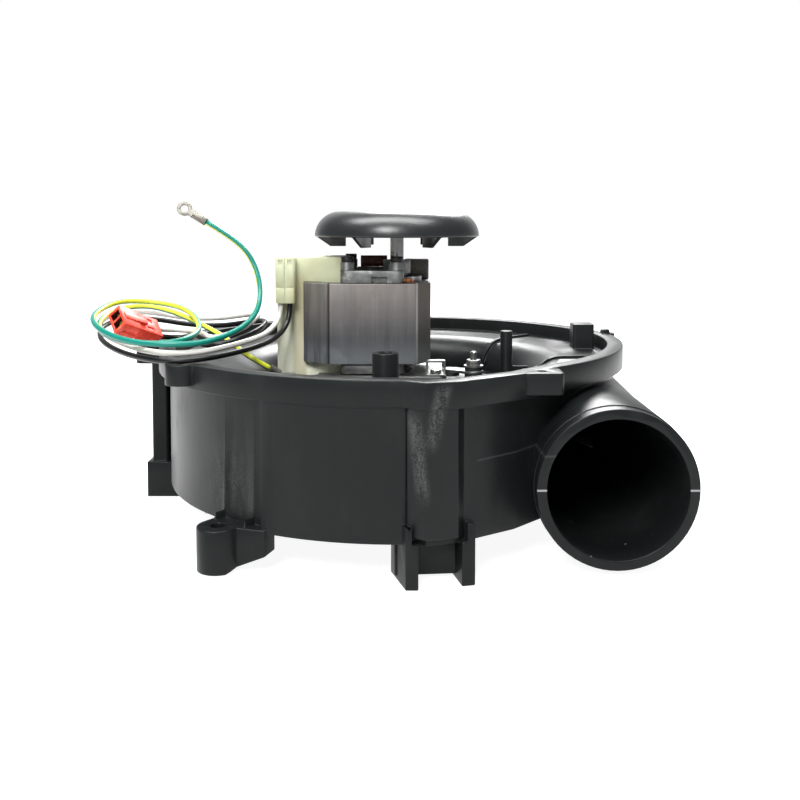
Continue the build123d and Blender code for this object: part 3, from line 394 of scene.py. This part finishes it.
def impellerPlastic():
    s = Shader("impellerPlastic", (0.02, 0.021, 0.022), 0.5)
    soot = s.noise(60, 5)
    s.set(color=s.blend(soot.step(0.4, 0.75), (0.012, 0.013, 0.014), (0.045, 0.042, 0.038)))
    s.set(roughness=0.45 + soot * 0.25, normal=s.bump(s.noise(500, 3), 0.0001, 0.5))
    return s.material


def laminations():
    # stacked sheets: level lines, upright smears from the press, warmer towards the top and a pale foot;
    # painted shade down the chamfer's front corner and a painted highlight down the front face's right edge
    s = Shader("laminations", (0.2, 0.2, 0.2), 0.45, 0.6)
    z = s.axis("Z")
    sheets = abs((z / 0.00064).fraction() - 0.5)
    smear = s.noise(60, 6, s.stretched((6.0, 6.0, 0.30)), 0.62)
    broad = s.noise(26, 4, s.stretched((1.0, 1.0, 0.6)))
    stain = s.noise(85, 5).step(0.56, 0.74)
    up = z.step(0.086, 0.128)
    base = s.blend(up, (0.155, 0.165, 0.180), (0.215, 0.190, 0.175))
    base = s.blend(z.step(0.100, 0.086) * 0.8, base, (0.38, 0.41, 0.44))
    base = s.blend(smear.step(0.38, 0.70) * 0.35, base, (0.30, 0.30, 0.30))
    base = s.blend(broad.step(0.45, 0.70) * 0.45, base, (0.095, 0.092, 0.088))
    base = s.blend(stain * 0.30, base, (0.09, 0.075, 0.06))
    base = s.blend(sheets.step(0.40, 0.5) * 0.22, base, (0.07, 0.07, 0.07))
    x, front = s.axis("X"), s.axis("Y").step(-0.014, -0.016)
    # painted shade: a dark line down the corner where the chamfer meets the front face
    cornerShade = abs(x + 0.0384).step(0.0009, 0.0004) * front
    # painted highlight: a pale line down the right edge of the front face
    highlightLine = abs(x - 0.0113).step(0.0007, 0.0003) * front
    base = s.blend(x.step(0.0116, 0.0125) * front * 0.5, base, (0.085, 0.072, 0.055))
    base = s.blend(x.step(-0.0384, -0.0392) * smear.step(0.40, 0.58) * 0.55, base, (0.085, 0.090, 0.080))
    base = s.blend(cornerShade * 0.85, base, (0.02, 0.02, 0.02))
    base = s.blend(highlightLine * 0.8, base, (0.55, 0.54, 0.50))
    s.set(color=base, roughness=0.36 + smear * 0.2 + stain * 0.15, metallic=0.65 - stain * 0.3)
    lines = s.bump(sheets, 0.0001, 0.45)
    s.set(normal=s.bump(smear, 0.00015, 0.30, lines))
    return s.material


def castMetal(name, color):
    # die-cast skin: dull, with small pits, brighter where it was rubbed
    s = Shader(name, color, 0.45, 0.8)
    cloud = s.noise(110, 5)
    pits = s.speckle(900).step(0.22, 0.10) * s.noise(160, 2).step(0.5, 0.6)
    dark = tuple(c * 0.45 for c in color)
    bright = tuple(min(1.0, c * 1.7) for c in color)
    base = s.blend(cloud.step(0.35, 0.7), dark, color)
    base = s.blend(s.noise(220, 4).step(0.56, 0.70) * 0.6, base, bright)
    s.set(color=s.blend(pits * 0.7, base, dark), roughness=0.36 + cloud * 0.25)
    s.set(normal=s.bump(cloud - pits, 0.0002, 0.45))
    return s.material


def plated(name, color, roughness, tarnish=(0.12, 0.11, 0.09), amount=0.3):
    # plated or plain metal, tarnished in patches and lightly rubbed
    s = Shader(name, color, roughness, 0.95)
    patch = s.noise(180, 5).step(0.48, 0.74) * amount
    s.set(color=s.blend(patch, color, tarnish), roughness=roughness + s.noise(400, 4) * 0.2 + patch * 0.25)
    s.set(normal=s.bump(s.noise(650, 3), 0.00008, 0.35), metallic=0.95 - patch * 0.5)
    return s.material


def nylon():
    # natural nylon: creamy, slightly clear, browner in warm patches and in a band down the middle of the
    # coil frame; painted light by height, paler low down and darker high up
    cream = (0.72, 0.72, 0.50)
    s = Shader("nylon", cream, 0.36)
    cloud = s.noise(45, 4)
    warm = s.noise(40, 4, s.stretched((1.6, 1.6, 0.5))).step(0.46, 0.72)
    inner = abs(s.axis("X") + 0.0562).step(0.0055, 0.0025) * s.axis("Z").step(0.140, 0.128)
    # painted light and shade: paler below where the frame lies in shade, darker above where the terminal
    # block is lit
    high = s.axis("Z").step(0.095, 0.122)
    base = s.blend(high, (0.95, 0.96, 0.78), (0.47, 0.49, 0.31))
    base = s.blend(cloud.step(0.35, 0.7) * 0.3, base, (0.66, 0.69, 0.54))
    base = s.blend(warm * 0.30 + inner * 0.60, base, (0.42, 0.37, 0.22))
    base = s.blend(s.speckle(500).step(0.10, 0.04) * 0.5, base, (0.30, 0.26, 0.18))
    s.set(color=base, roughness=0.30 + cloud * 0.15, subsurface=0.15)
    s.surface.inputs["Subsurface Radius"].default_value = (0.6, 0.5, 0.3)
    s.surface.inputs["Subsurface Scale"].default_value = 0.003
    s.set(normal=s.bump(cloud, 0.0003, 0.25))
    return s.material


def softBlack(name, color, roughness, grainScale):
    # rubber, foam, sleeving or moulded phenolic
    s = Shader(name, color, roughness)
    grain = s.noise(grainScale, 5)
    s.set(color=s.blend(grain.step(0.4, 0.8) * 0.5, color, tuple(c * 2.6 for c in color)))
    s.set(roughness=roughness + grain * 0.12, normal=s.bump(grain, 0.0003, 0.6))
    return s.material


def copper():
    # enamelled winding: turns side by side round the bobbin
    s = Shader("copper", (0.42, 0.16, 0.07), 0.3, 0.9)
    turns = abs((s.axis("Y") / 0.0005).fraction() - 0.5)
    s.set(color=s.blend(turns.step(0.25, 0.5), (0.52, 0.21, 0.10), (0.12, 0.04, 0.02)))
    s.set(normal=s.bump(turns, 0.0003, -0.9), roughness=0.25 + s.noise(120) * 0.15)
    return s.material


def tape():
    # glass-cloth tape over the winding
    s = Shader("tape", (0.70, 0.68, 0.55), 0.5)
    warp = abs((s.axis("Y") / 0.0007).fraction() - 0.5)
    weft = abs((s.axis("Z") / 0.0007).fraction() - 0.5)
    soak = s.noise(60, 5).step(0.45, 0.7)
    s.set(color=s.blend(soak * 0.5, (0.66, 0.62, 0.42), (0.40, 0.28, 0.13)), roughness=0.42 + warp * 0.2)
    s.set(normal=s.bump(warp * 0.5 + weft * 0.5, 0.0002, 0.7))
    return s.material


def insulation(name, color, stripe=None):
    # vinyl covering; a stripe runs the length of the lead on the lead's own map
    s = Shader(name, color, 0.36)
    smudge = s.noise(160, 5)
    base = s.blend(smudge.step(0.52, 0.78) * 0.35, color, tuple(c * 0.55 + 0.01 for c in color))
    if stripe:
        lead = s.add("ShaderNodeUVMap", {"uv_map": "around"}, {})
        along = s.add("ShaderNodeSeparateXYZ", {}, {0: lead}, "X")
        around = s.add("ShaderNodeSeparateXYZ", {}, {0: lead}, "Y")
        turn = (around + along * stripe["twist"] + stripe["start"]).fraction()
        band = abs(turn - 0.5).step(stripe["half"] + stripe["soft"], stripe["half"] - stripe["soft"])
        base = s.blend(band, base, stripe["color"])
    s.set(color=base, roughness=0.24 + smudge * 0.14, specular=0.32)
    s.set(normal=s.bump(s.noise(300, 3), 0.0001, 0.3))
    return s.material


# the plug in mm: where its rear end is, which way it points and its two widths; its shader reads it too

plug = {
    "rear": (-135.5, -27.5, 102.6),
    "along": (-0.538, -0.769, 0.348),
    "across": (0.426, -0.602, -0.673),
    "length": 28.5,
    "rearSize": (12.6, 8.0),
    "frontSize": (13.6, 9.2),
    "step": 15.7,
    "flare": 0.4,
    "cell": (4.7, 6.4, 11.0),
    "cellApart": 5.6,
    "cuts": (  # place and size, each with its pair on the other side
        ((6.9, 0, 21), (1.2, 2.6, 9)),  # groove along the side
        ((3.1, 4.6, 8), (2.2, 2.4, 5)),  # pocket above
        ((3.1, -4.6, 8), (2.2, 2.4, 5)),  # pocket below
        ((2.6, 0, 0), (3.3, 3.3, 9)),  # lead entry
    ),
    "edge": 0.35,
}


def redNylon():
    s = Shader("redNylon", (0.80, 0.080, 0.050), 0.34)
    cloud = s.noise(90, 4)
    worn = s.noise(260, 5).step(0.56, 0.72)
    base = s.blend(cloud.step(0.4, 0.7), (0.62, 0.040, 0.022), (0.86, 0.10, 0.065))
    along, across = Vector(plug["along"]).normalized(), Vector(plug["across"]).normalized()
    up = along.cross(across)
    front = Vector(plug["rear"]) * mm + along * plug["length"] * mm
    spot = [s.axis(letter) - at for letter, at in zip("XYZ", front)]
    deep, wide, thick = (spot[0] * d[0] + spot[1] * d[1] + spot[2] * d[2] for d in (along, across, up))
    apart = abs(abs(wide) - plug["cellApart"] / 2 * mm)
    # painted shade: the insides of the cell openings painted near-black
    cellShade = apart.step(0.00248, 0.0024) * abs(thick).step(0.0034, 0.0033) * deep.step(-0.0002, -0.0009)
    base = s.blend(cellShade * 0.97, base, (0.006, 0.003, 0.003))
    base = s.blend(worn * 0.35 * (1 - cellShade), base, (0.80, 0.30, 0.22))
    s.set(color=base, roughness=0.34 + cloud * 0.18, specular=0.3)
    s.set(normal=s.bump(cloud, 0.0002, 0.3))
    return s.material


def floorPaper():
    s = Shader("floorPaper", paper["color"], 0.8)
    shade = tuple(c * 0.985 for c in paper["color"])
    s.set(color=s.blend(s.noise(3, 3), shade, paper["color"]), specular=0.1)
    s.surface.inputs["Emission Color"].default_value = (1, 1, 1, 1)
    s.surface.inputs["Emission Strength"].default_value = paper["glow"]
    return s.material


stripe = {"color": (0.56, 0.60, 0.04), "twist": 0.12, "half": 0.135, "soft": 0.012, "start": 0.32}
looks = {
    "housing": housingPlastic(),
    "fan": fanPlastic(),
    "impeller": impellerPlastic(),
    "laminations": laminations(),
    "castZinc": castMetal("castZinc", (0.26, 0.265, 0.26)),
    "zincSheet": plated("zincSheet", (0.22, 0.225, 0.22), 0.30, amount=0.6),
    "zincScrew": plated("zincScrew", (0.40, 0.40, 0.385), 0.17, amount=0.5),
    "blackScrew": plated("blackScrew", (0.030, 0.030, 0.032), 0.35, (0.10, 0.08, 0.06), 0.4),
    "groundSteel": plated("groundSteel", (0.20, 0.20, 0.195), 0.14, amount=0.3),
    "tinned": plated("tinned", (0.20, 0.19, 0.165), 0.42, amount=0.6),
    "aluminium": castMetal("aluminium", (0.50, 0.50, 0.51)),
    "bronze": castMetal("bronze", (0.38, 0.25, 0.12)),
    "brass": plated("brass", (0.66, 0.45, 0.18), 0.28),
    "nylon": nylon(),
    "copper": copper(),
    "tape": tape(),
    "rubber": softBlack("rubber", (0.010, 0.010, 0.010), 0.62, 400),
    "foam": softBlack("foam", (0.018, 0.018, 0.019), 0.85, 900),
    "brownSleeve": softBlack("brownSleeve", (0.17, 0.075, 0.055), 0.38, 500),
    "protector": softBlack("protector", (0.085, 0.076, 0.058), 0.34, 700),
    "whiteLead": insulation("whiteLead", (0.62, 0.61, 0.57)),
    "blackLead": insulation("blackLead", (0.004, 0.004, 0.005)),
    "greenLead": insulation("greenLead", (0.001, 0.165, 0.125), stripe),
    "redNylon": redNylon(),
}
print("materials", len(looks))


# how a finished piece joins the model

def settle(piece, body, slot, look, *replaced):
    piece.data.materials.clear()
    piece.data.materials.append(looks[look])
    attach(piece, body)
    if replaced:
        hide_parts(*replaced)
    return piece


def applyBevel(piece, width, segments=2, angle=32, clamp=False):
    takeOnly(piece)
    bevel = piece.modifiers.new("edges", "BEVEL")
    bevel.width = width * mm
    bevel.segments = segments
    bevel.limit_method = "ANGLE"
    bevel.angle_limit = math.radians(angle)
    bevel.use_clamp_overlap = clamp
    bpy.ops.object.modifier_apply(modifier=bevel.name)
    bpy.ops.object.shade_smooth_by_angle(angle=math.radians(35))


# moulded and cast pieces: the node's own shape with its edges softened, sizes in mm

softened = {
    "housingTub": {
        "node": "upper_housing", "edge": 0.5, "look": "housing", "slot": "black_plastic",
        "cuts": (((-69.3, -110, -6.1), (40, 60, 20), -24.8),),  # slopes the foot of the front ear
    },
    "bottomCover": {"node": "lower_cover", "edge": 0.4, "look": "housing", "slot": "black_plastic"},
    "fanDome": {
        "node": "cooling_fan", "edge": 0.35, "look": "fan", "slot": "black_plastic", "body": "rotor",
    },
    "statorStack": {"node": "stator_core", "edge": 0.3, "look": "laminations", "slot": "lamination_steel"},
    "coilFrame": {"node": "coil_bobbin", "edge": 0.45, "look": "nylon", "slot": "natural_nylon"},
    "upperBracket": {
        "node": "upper_bearing_bracket", "edge": 0.35, "look": "castZinc", "slot": "die_cast_zinc",
        "cuts": (((-9.8, -25, 131.6), (8.6, 3, 3.8)),),
    },
    "lowerBracket": {
        "node": "lower_bearing_bracket", "edge": 0.35, "look": "castZinc", "slot": "die_cast_zinc",
    },
    "mountPlate": {"node": "motor_mount_plate", "edge": 0.3, "look": "zincSheet", "slot": "zinc_sheet"},
    "clipFrame": {"node": "mount_clip", "edge": 0.25, "look": "zincSheet", "slot": "zinc_sheet"},
    "protectorBox": {
        "node": "thermal_protector", "edge": 0.5, "look": "protector", "slot": "black_plastic",
    },
    "ringLug": {"node": "ring_terminal", "edge": 0.3, "look": "tinned", "slot": "tinned"},
    "postScrews": {"node": "bracket_screws", "edge": 0.3, "look": "blackScrew", "slot": "black_screw"},
    "studNuts": {"node": "mount_nuts", "edge": 0.35, "look": "zincScrew", "slot": "zinc_screw"},
    "clipScrew": {"node": "clip_screw", "edge": 0.5, "look": "zincScrew", "slot": "zinc_screw"},
}


def copyOf(name, node):
    piece = bpy.data.objects.new(name, nodes[node].data.copy())
    bpy.context.scene.collection.objects.link(piece)
    takeOnly(piece)
    bpy.ops.object.mode_set(mode="EDIT")
    bpy.ops.mesh.select_all(action="SELECT")
    bpy.ops.mesh.remove_doubles(threshold=1e-6)
    bpy.ops.mesh.dissolve_limited(angle_limit=math.radians(0.6))
    bpy.ops.object.mode_set(mode="OBJECT")
    return piece


def subtract(piece, cutter):
    takeOnly(piece)
    taken = piece.modifiers.new("cut", "BOOLEAN")
    taken.operation = "DIFFERENCE"
    taken.solver = "EXACT"
    taken.object = cutter
    bpy.ops.object.modifier_apply(modifier=taken.name)
    bpy.data.objects.remove(cutter)


def cut(piece, place, size, lean=0):
    # takes a box away; lean turns it about Y in degrees
    takeOnly()
    bpy.ops.mesh.primitive_cube_add(size=1)
    cutter = bpy.context.object
    turn = Matrix.Rotation(math.radians(lean), 3, "Y").to_quaternion()
    cutter.data.transform(Matrix.LocRotScale(Vector(place), turn, Vector(size)))
    subtract(piece, cutter)


for name, spec in softened.items():
    piece = copyOf(name, spec["node"])
    for place, size, *more in spec.get("cuts", ()):
        cut(piece, Vector(place) * mm, Vector(size) * mm, *more)
    applyBevel(piece, spec["edge"])
    settle(piece, spec.get("body", "housing"), spec["slot"], spec["look"], spec["node"])
print("softened", len(softened))


# terminal block: a groove between its two cells, a pocket near the top of each and a level line, in mm

block = {
    "groove": (0.7, 0.8),
    "pocket": (2.6, 0.7, 3.2),
    "pocketApart": 5.4,
    "pocketDown": 3,
    "line": 0.6,
    "lineUp": 9,
    "edge": 0.3,
}


def makeBlock():
    low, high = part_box("terminal_block")
    piece = copyOf("terminalBlock", "terminal_block")
    middle = (low[0] + high[0]) / 2
    wide, depth = (v * mm for v in block["groove"])
    line = block["line"] * mm
    top = high[2] - block["pocketDown"] * mm
    cut(piece, (middle, low[1], (low[2] + high[2]) / 2), (wide, depth, (high[2] - low[2]) * 1.1))
    for side in (-1, 1):
        across = middle + side * block["pocketApart"] / 2 * mm
        cut(piece, (across, low[1], top), Vector(block["pocket"]) * mm)
    cut(piece, (middle, low[1], low[2] + block["lineUp"] * mm), ((high[0] - low[0]) * 1.2, line, line))
    applyBevel(piece, block["edge"], clamp=True)
    settle(piece, "housing", "natural_nylon", "nylon", "terminal_block")


makeBlock()
print("terminal block")


# two-way plug on the ends of the white and black leads

def makePlug():
    along = Vector(plug["along"]).normalized()
    across = Vector(plug["across"])
    across = (across - along * across.dot(along)).normalized()
    up = along.cross(across)
    turn = Matrix((across, up, along)).transposed().to_4x4()
    place = Matrix.Translation(Vector(plug["rear"]) * mm) @ turn
    wide, thick = (v * mm for v in plug["rearSize"])
    takeOnly()
    bpy.ops.mesh.primitive_cube_add(size=1)
    piece = bpy.context.object
    piece.name = "plugBody"
    middle = Vector((0, 0, plug["step"] / 2 * mm))
    piece.data.transform(Matrix.LocRotScale(middle, None, Vector((wide, thick, plug["step"] * mm))))
    bpy.ops.object.mode_set(mode="EDIT")
    bpy.ops.mesh.select_mode(type="FACE")
    bpy.ops.mesh.select_all(action="DESELECT")
    body = bmesh.from_edit_mesh(piece.data)
    for face in body.faces:
        face.select = face.normal.z > 0.9
    bmesh.update_edit_mesh(piece.data)
    bpy.ops.mesh.extrude_region_move(TRANSFORM_OT_translate={"value": (0, 0, plug["flare"] * mm)})
    grow = [front / rear for front, rear in zip(plug["frontSize"], plug["rearSize"])]
    bpy.ops.transform.resize(value=(*grow, 1))
    ahead = (plug["length"] - plug["step"] - plug["flare"]) * mm
    bpy.ops.mesh.extrude_region_move(TRANSFORM_OT_translate={"value": (0, 0, ahead)})
    bpy.ops.object.mode_set(mode="OBJECT")
    cellWide, cellThick, deep = (v * mm for v in plug["cell"])
    for side in (-1, 1):
        at = (side * plug["cellApart"] / 2 * mm, 0, plug["length"] * mm)
        cut(piece, at, (cellWide, cellThick, 2 * deep))
        for (out, height, forward), size in plug["cuts"]:
            cut(piece, Vector((side * out, height, forward)) * mm, Vector(size) * mm)
    applyBevel(piece, plug["edge"])
    latch = makeLatch()
    takeOnly(piece)
    latch.select_set(True)
    bpy.ops.object.join()
    piece.data.transform(place)
    piece.matrix_world = Matrix.Identity(4)
    return settle(piece, "housing", "red_plug", "redNylon", "plug_housing")


latchShape = {  # mm, in the plug's own frame
    "middle": (0, 4.9, 18.5),
    "size": (4.2, 1.3, 15),
    "dip": 0.5,
    "toe": (0, -0.1, 0.5),
    "edge": 0.3,
}


def makeLatch():
    takeOnly()
    bpy.ops.mesh.primitive_cube_add(size=1)
    latch = bpy.context.object
    middle, size = (Vector(latchShape[key]) * mm for key in ("middle", "size"))
    latch.data.transform(Matrix.LocRotScale(middle, None, size))
    bpy.ops.object.mode_set(mode="EDIT")
    bpy.ops.mesh.select_mode(type="FACE")
    bpy.ops.mesh.select_all(action="DESELECT")
    body = bmesh.from_edit_mesh(latch.data)
    for face in body.faces:
        face.select = face.normal.z > 0.9
    bmesh.update_edit_mesh(latch.data)
    bpy.ops.transform.translate(value=(0, -latchShape["dip"] * mm, 0))
    bpy.ops.mesh.extrude_region_move(TRANSFORM_OT_translate={"value": Vector(latchShape["toe"]) * mm})
    bpy.ops.object.mode_set(mode="OBJECT")
    applyBevel(latch, latchShape["edge"])
    return latch


plugBody = makePlug()
print("plug")


# leads: their coverings, tied to the housing in place of their nodes

for name, (piece, line, length) in leadPieces.items():
    spec = leads[name]
    settle(piece, "housing", spec["slot"], spec["look"], spec["node"])
print("leads")


# nodes that keep their shape

nodeLooks = {
    "impeller": ("impeller",),
    "laminations": ("coil_core", "rotor_core"),
    "zincSheet": ("seal_retainer", "fan_clip", "mount_washers"),
    "zincScrew": ("cover_screws", "retainer_screws", "mount_studs", "bracket_nuts", "ground_screw"),
    "blackScrew": ("impeller_set_screw",),
    "groundSteel": ("motor_shaft", "thrust_washers"),
    "tinned": ("ground_eyelet",),
    "aluminium": ("rotor_cage", "slinger", "impeller_hub"),
    "bronze": ("upper_bearing", "lower_bearing"),
    "brass": ("terminal_pins", "plug_contacts"),
    "copper": ("coil_winding", "shading_rings"),
    "tape": ("coil_wrap",),
    "rubber": ("shaft_seal", "mount_grommets"),
    "foam": ("inlet_gasket",),
    "brownSleeve": ("protector_sleeve",),
}
for look, names in nodeLooks.items():
    for name in names:
        nodes[name].data.materials.clear()
        nodes[name].data.materials.append(looks[look])
print("node materials")


# floor

def makeFloor():
    takeOnly()
    bpy.ops.mesh.primitive_plane_add(size=paper["size"], location=(0, 0, paper["level"]))
    floor = bpy.context.object
    floor.name = "floor"
    floor.data.materials.append(floorPaper())


makeFloor()
